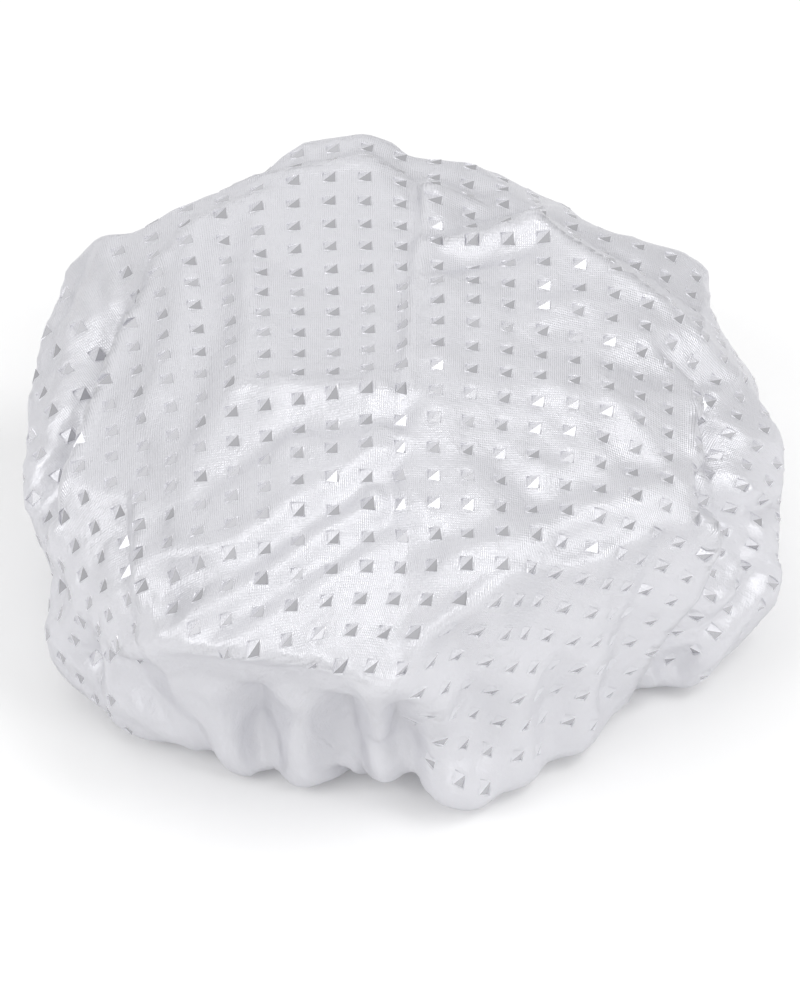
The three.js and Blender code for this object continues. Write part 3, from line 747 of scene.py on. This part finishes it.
def elastic_band():
    points = []
    faces = []
    sides = 2 * (2 * ELASTIC_RIBS + 1)
    for step in range(ELASTIC_STEPS + 1):
        share = step / ELASTIC_STEPS
        turned = share * (2 * math.pi + ELASTIC_OVERLAP)
        angle = math.pi / 2 - ELASTIC_OVERLAP / 2 + turned
        climb = smooth_step((turned - CLIMB_START) / CLIMB_ANGLE) * elastic_climb
        floor_height = elastic_low.z + climb
        top = []
        bottom = []
        for rib in range(2 * ELASTIC_RIBS + 1):
            radius = elastic_inner + ELASTIC_WIDTH * rib / (2 * ELASTIC_RIBS)
            groove = ELASTIC_GROOVE * (rib % 2 == 0)
            top.append(ring_place(angle, radius, floor_height + ELASTIC_THICKNESS - groove))
            bottom.append(ring_place(angle, radius, floor_height + groove))
        points += bottom + top[::-1]
        for side in range(sides):
            beside = (side + 1) % sides
            if step < ELASTIC_STEPS:
                faces.append((step * sides + side, step * sides + beside,
                              (step + 1) * sides + beside, (step + 1) * sides + side))
    faces.append(tuple(range(sides))[::-1])
    faces.append(tuple(ELASTIC_STEPS * sides + side for side in range(sides)))
    return new_piece("elastic_band_knit", points, faces, [True] * (len(faces) - 2) + [False] * 2)


elastic = elastic_band()

# %% [markdown]
# A bar of stitches tacks the two layers of the elastic together. Each stitch is a short thread that
# swells in its middle and sinks in at both ends.

# %% The tack
tack_low, tack_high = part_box("elastic_tack")
TACK_STITCHES = 9
STITCH_SIDES = 6
STITCH_RINGS = 7
STITCH_FILL = 0.46
STITCH_END_WIDTH = 0.4
STITCH_END_HEIGHT = 0.35
STITCH_SWELL = 0.3


def stitch_bar():
    points = []
    faces = []
    middle_y = (tack_low.y + tack_high.y) / 2
    half = (tack_high.y - tack_low.y) / 2
    pitch = (tack_high.x - tack_low.x) / TACK_STITCHES
    thick = (tack_high.z - tack_low.z) / 2
    for stitch in range(TACK_STITCHES):
        across = tack_low.x + pitch * (stitch + 0.5)
        first = len(points)
        for ring in range(STITCH_RINGS):
            along = -1 + ring / (STITCH_RINGS // 2)
            arch = math.sqrt(max(0.0, 1 - along ** 4))
            for side in range(STITCH_SIDES):
                turn = side / STITCH_SIDES * 2 * math.pi
                width = STITCH_END_WIDTH + (1 - STITCH_END_WIDTH) * arch
                height = STITCH_END_HEIGHT + STITCH_SWELL * arch
                points.append((across + STITCH_FILL * pitch * math.cos(turn) * width,
                               middle_y + half * along,
                               tack_low.z + thick * height * (1 + math.sin(turn))))
        for ring in range(STITCH_RINGS - 1):
            for side in range(STITCH_SIDES):
                beside = (side + 1) % STITCH_SIDES
                a = first + ring * STITCH_SIDES
                faces.append((a + side, a + beside, a + STITCH_SIDES + beside, a + STITCH_SIDES + side))
        faces.append(tuple(range(first, first + STITCH_SIDES))[::-1])
        faces.append(tuple(range(len(points) - STITCH_SIDES, len(points))))
    return new_piece("elastic_tack_stitches", points, faces, [True] * len(faces))


tack = stitch_bar()

# %% [markdown]
# A zigzag seam closes the casing on the film's rim. It is one thread swept round the mouth like the
# casing, with a round section that swings in and out, and at each turn it dips a little.

# %% The zigzag thread
thread_low, thread_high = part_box("hem_thread")
ZIGZAG_COUNT = 54
STEPS_PER_ZIGZAG = 12
THREAD_STEPS = ZIGZAG_COUNT * STEPS_PER_ZIGZAG
THREAD_SIDES = 6
THREAD_INSET = 0.0055
THREAD_DIP = 0.35
ZIGZAG_HALF = 0.0024
thread_radius = (thread_high.z - thread_low.z) / 2
thread_middle = MOUTH_RADIUS + THREAD_INSET


def thread_section(angle, step):
    wave = 2 * abs((step / STEPS_PER_ZIGZAG + 0.25) % 1 - 0.5) * 2 - 1
    dip = THREAD_DIP * abs(wave) ** 6
    section = []
    for side in range(THREAD_SIDES):
        turn = side / THREAD_SIDES * 2 * math.pi
        radius = thread_middle + ZIGZAG_HALF * wave + thread_radius * math.cos(turn)
        height = thread_low.z + thread_radius * (1 + math.sin(turn) - dip)
        section.append(ring_place(angle, radius, height))
    return section


hem_thread = swept_ring("hem_thread_zigzag", THREAD_STEPS, thread_section, closed_section=True)

# %% [markdown]
# The film is milky and satin: light glances off it in soft sheets and some passes through. The fine rib of
# its emboss runs up the sheet in flat coordinates. Towards the walls the rib fades out and the film lets
# more light through, and there its colour is painted lighter: painted light for the light that shines
# through the thin lower walls.

# %% The film's material
FILM_WHITE = (0.70, 0.70, 0.735)
# lighter colour of the walls: painted light, since the walls are the same film lit through from inside
WALL_PAINTED_LIGHT = (0.81, 0.81, 0.845)
FILM_ROUGHNESS = (0.30, 0.42)
FILM_GLOW = (0.10, 0.3)
FILM_PEARL = (0.45, 0.25)
CLOUD_SCALE = 60
RIB_DEPTH = 0.000042
RIB_STRENGTH = (0.9, 0.15)
RIB_PITCH = (0.00066, 0.0009)
RIB_FADE = 0.02
RIBBED_RADIUS = 0.125
WALL_FADE = 0.03
WAVE_TURN = 2 * math.pi / 20


def new_material(name, colour, roughness):
    material = bpy.data.materials.new(name)
    material.use_nodes = True
    shader = material.node_tree.nodes["Principled BSDF"]
    shader.inputs["Base Color"].default_value = (*colour, 1)
    shader.inputs["Roughness"].default_value = roughness
    return material, material.node_tree.nodes, material.node_tree.links, shader


def vary(nodes, links, vector, scale, low, high, socket):
    cloud = nodes.new("ShaderNodeTexNoise")
    cloud.inputs["Scale"].default_value = scale
    cloud.inputs["Detail"].default_value = 3
    spread = nodes.new("ShaderNodeMapRange")
    spread.inputs["From Min"].default_value = 0.3
    spread.inputs["From Max"].default_value = 0.7
    spread.inputs["To Min"].default_value = low
    spread.inputs["To Max"].default_value = high
    links.new(vector, cloud.inputs["Vector"])
    links.new(cloud.outputs["Fac"], spread.inputs["Value"])
    links.new(spread.outputs["Result"], socket)


def from_crown_to_wall(nodes, links, out_from_crown, ends, fade, socket):
    change = nodes.new("ShaderNodeMapRange")
    change.inputs["From Min"].default_value = RIBBED_RADIUS
    change.inputs["From Max"].default_value = RIBBED_RADIUS + fade
    change.inputs["To Min"].default_value = ends[0]
    change.inputs["To Max"].default_value = ends[1]
    links.new(out_from_crown, change.inputs["Value"])
    links.new(change.outputs["Result"], socket)


def film_material():
    material, nodes, links, shader = new_material("embossed_white_film", FILM_WHITE, FILM_ROUGHNESS[0])
    shader.inputs["Specular IOR Level"].default_value = 0.6
    flat_sheet = nodes.new("ShaderNodeUVMap")
    flat_sheet.uv_map = "flat_sheet"
    flat = flat_sheet.outputs["UV"]
    vary(nodes, links, flat, CLOUD_SCALE, *FILM_ROUGHNESS, shader.inputs["Roughness"])
    flat_length = nodes.new("ShaderNodeVectorMath")
    flat_length.operation = "LENGTH"
    links.new(flat, flat_length.inputs[0])
    out_from_crown = flat_length.outputs["Value"]
    grain = nodes.new("ShaderNodeMath")
    grain.operation = "MULTIPLY_ADD"
    grain.inputs[1].default_value = 2
    for band, direction in enumerate("XY"):
        rib = nodes.new("ShaderNodeTexWave")
        rib.bands_direction = direction
        rib.inputs["Scale"].default_value = WAVE_TURN / RIB_PITCH[band]
        rib.inputs["Distortion"].default_value = 0.5
        links.new(flat, rib.inputs["Vector"])
        links.new(rib.outputs["Fac"], grain.inputs[2 * band])
    rib_bump = nodes.new("ShaderNodeBump")
    rib_bump.inputs["Distance"].default_value = RIB_DEPTH
    from_crown_to_wall(nodes, links, out_from_crown, RIB_STRENGTH, RIB_FADE, rib_bump.inputs["Strength"])
    links.new(grain.outputs["Value"], rib_bump.inputs["Height"])
    crinkle = nodes.new("ShaderNodeTexNoise")
    crinkle.inputs["Scale"].default_value = 130
    crinkle.inputs["Detail"].default_value = 5
    crinkle.inputs["Roughness"].default_value = 0.62
    links.new(flat, crinkle.inputs["Vector"])
    crinkle_bump = nodes.new("ShaderNodeBump")
    crinkle_bump.inputs["Strength"].default_value = 0.6
    crinkle_bump.inputs["Distance"].default_value = 0.0012
    links.new(crinkle.outputs["Fac"], crinkle_bump.inputs["Height"])
    links.new(rib_bump.outputs["Normal"], crinkle_bump.inputs["Normal"])
    links.new(crinkle_bump.outputs["Normal"], shader.inputs["Normal"])
    through = nodes.new("ShaderNodeBsdfTranslucent")
    through.inputs["Color"].default_value = (0.95, 0.95, 0.97, 1)
    links.new(crinkle_bump.outputs["Normal"], through.inputs["Normal"])
    both = nodes.new("ShaderNodeMixShader")
    from_crown_to_wall(nodes, links, out_from_crown, FILM_GLOW, WALL_FADE, both.inputs["Fac"])
    from_crown_to_wall(nodes, links, out_from_crown, FILM_PEARL, WALL_FADE, shader.inputs["Metallic"])
    # painted light: the colour turns lighter from the crown to the walls
    painted_wall_light_mix = nodes.new("ShaderNodeMix")
    painted_wall_light_mix.data_type = "RGBA"
    painted_wall_light_mix.inputs["A"].default_value = (*FILM_WHITE, 1)
    painted_wall_light_mix.inputs["B"].default_value = (*WALL_PAINTED_LIGHT, 1)
    from_crown_to_wall(nodes, links, out_from_crown, (0, 1), WALL_FADE, painted_wall_light_mix.inputs["Factor"])
    links.new(painted_wall_light_mix.outputs["Result"], shader.inputs["Base Color"])
    links.new(shader.outputs["BSDF"], both.inputs[1])
    links.new(through.outputs["BSDF"], both.inputs[2])
    links.new(both.outputs["Shader"], nodes["Material Output"].inputs["Surface"])
    return material


crown_film.data.materials.append(film_material())
print("film material with", len(crown_film.data.materials[0].node_tree.nodes), "nodes")

# %% [markdown]
# The lower right facet of each stud is smoother than the film round it, so it catches hard light where it
# faces a lamp. Its colour is a darker grey than the film's: painted shade for the facet that turns dark.
# The other facet keeps the film's own material.

# %% The studs' material
# darker grey than the film: painted shade on the lower right facets
STUD_SHADE_GREY = (0.46, 0.46, 0.483)
STUD_ROUGHNESS = (0.12, 0.2)
STUD_PEARL = 0.45


def stud_gloss_and_painted_shade():
    material, nodes, links, shader = new_material("stud_facets", STUD_SHADE_GREY, STUD_ROUGHNESS[0])
    shader.inputs["Specular IOR Level"].default_value = 1.0
    shader.inputs["Metallic"].default_value = STUD_PEARL
    flat_sheet = nodes.new("ShaderNodeUVMap")
    flat_sheet.uv_map = "flat_sheet"
    vary(nodes, links, flat_sheet.outputs["UV"], CLOUD_SCALE, *STUD_ROUGHNESS, shader.inputs["Roughness"])
    return material


crown_film.data.materials.append(stud_gloss_and_painted_shade())
print("film looks", [look_name for look_name in crown_film.data.materials.keys()])

# %% [markdown]
# The casing, the elastic and the thread are matt. One recipe serves all three: a noise in the piece's
# own space gives a small bump and uneven roughness, coarse for the casing and fine for the thread.

# %% The hem's materials
UNEVEN = 0.08


def woven_material(name, colour, roughness, scale, depth):
    material, nodes, links, shader = new_material(name, colour, roughness)
    place = nodes.new("ShaderNodeTexCoord")
    weave = nodes.new("ShaderNodeTexNoise")
    weave.inputs["Scale"].default_value = scale
    weave.inputs["Detail"].default_value = 2
    links.new(place.outputs["Object"], weave.inputs["Vector"])
    bump = nodes.new("ShaderNodeBump")
    bump.inputs["Distance"].default_value = depth
    links.new(weave.outputs["Fac"], bump.inputs["Height"])
    links.new(bump.outputs["Normal"], shader.inputs["Normal"])
    vary(nodes, links, place.outputs["Object"], scale / 4, roughness - UNEVEN, roughness + UNEVEN,
         shader.inputs["Roughness"])
    return material


hem_casing.data.materials.append(woven_material(
    "casing_strip", (0.84, 0.84, 0.87), roughness=0.5, scale=500, depth=0.0003))
elastic.data.materials.append(woven_material(
    "knitted_elastic", (0.86, 0.85, 0.83), roughness=0.8, scale=1400, depth=0.0003))
thread_white = woven_material(
    "sewing_thread", (0.88, 0.88, 0.88), roughness=0.65, scale=2500, depth=0.0001)
tack.data.materials.append(thread_white)
hem_thread.data.materials.append(thread_white)
print("materials", sorted(material.name for material in bpy.data.materials))

# %% [markdown]
# The front of the hem slides forward when the mouth is stretched over a head. Every sheet and ring
# that goes round the mouth is shared between the standing cap and the sliding front, and the tack
# at the back stays with the cap.

# %% What moves with what
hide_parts("crown_film")
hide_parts("hem_casing_back", "hem_casing_front")
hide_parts("elastic_band")
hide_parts("elastic_tack")
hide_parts("hem_thread")
for stretched in (crown_film, hem_casing, elastic, hem_thread):
    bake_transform(stretched)
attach(tack, "cap")

# %% [markdown]
# The photo is high-key: a white table runs out of the picture. It is one large square, and it glows a
# little, as a lit white sweep does. It isn't part of the cap.

# %% The table
TABLE_HALF = 4
TABLE_WHITE = (0.88, 0.88, 0.88)
TABLE_ROUGHNESS = 0.7
TABLE_GLOW = 0.03
table_corners = [(-TABLE_HALF, -TABLE_HALF, 0), (TABLE_HALF, -TABLE_HALF, 0),
                 (TABLE_HALF, TABLE_HALF, 0), (-TABLE_HALF, TABLE_HALF, 0)]
floor = new_piece("table", table_corners, [(0, 1, 2, 3)], [False])
table_material, _, _, table_shader = new_material("white_table", TABLE_WHITE, TABLE_ROUGHNESS)
table_shader.inputs["Emission Color"].default_value = (1, 1, 1, 1)
table_shader.inputs["Emission Strength"].default_value = TABLE_GLOW
floor.data.materials.append(table_material)

# %% [markdown]
# Large soft lights stand to the left, the right and the front, with a key high on the right and
# weaker panels behind and overhead. A white sky fills the rest, so the shadow under the front stays
# thin and grey.

# %% Light
SKY_STRENGTH = 0.58
LIGHT_AIM = Vector((0, 0, 0.05))


def soft_light(name, place, size, watts):
    lamp = bpy.data.lights.new(name, "AREA")
    lamp.shape = "RECTANGLE"
    lamp.size, lamp.size_y = size
    lamp.energy = watts
    light = bpy.data.objects.new(name, lamp)
    light.location = place
    light.rotation_euler = (LIGHT_AIM - light.location).to_track_quat("-Z", "Y").to_euler()
    bpy.context.collection.objects.link(light)


soft_light("right_key", place=(1.45, -0.1, 2.4), size=(1.2, 1.2), watts=18)
soft_light("back_panel", place=(-0.5, 1.75, 1.5), size=(2.0, 2.4), watts=8)
soft_light("overhead_panel", place=(-0.95, 0.2, 2.45), size=(1.3, 1.8), watts=6)
soft_light("left_softbox", place=(-2.4, -1.0, 1.8), size=(1.4, 1.4), watts=27)
soft_light("right_softbox", place=(2.4, -1.2, 1.9), size=(1.6, 1.6), watts=23)
soft_light("front_softbox", place=(0.3, -2.6, 1.1), size=(1.4, 1.4), watts=12.5)
sky = bpy.data.worlds.new("studio")
sky.use_nodes = True
sky.node_tree.nodes["Background"].inputs["Color"].default_value = (1, 1, 1, 1)
sky.node_tree.nodes["Background"].inputs["Strength"].default_value = SKY_STRENGTH
bpy.context.scene.world = sky
bpy.context.scene.view_settings.view_transform = "Standard"
print("lights", sorted(light.name for light in bpy.data.lights))

# %% [markdown]
# The camera stands where the folds were picked from. Its lens follows from the focal length in
# pixels, so the picks and the picture agree.

# %% Camera
SENSOR = 36
lens = bpy.data.cameras.new("photo_camera")
lens.sensor_fit = "VERTICAL"
lens.sensor_height = SENSOR
lens.lens = SENSOR * FOCAL_PIXELS / PHOTO_HEIGHT
lens.dof.use_dof = False
camera = bpy.data.objects.new("photo_camera", lens)
camera.location = camera_place
camera.rotation_euler = look.to_track_quat("-Z", "Y").to_euler()
bpy.context.collection.objects.link(camera)
bpy.context.scene.camera = camera
print("camera with a lens of", round(lens.lens, 1), "mm")
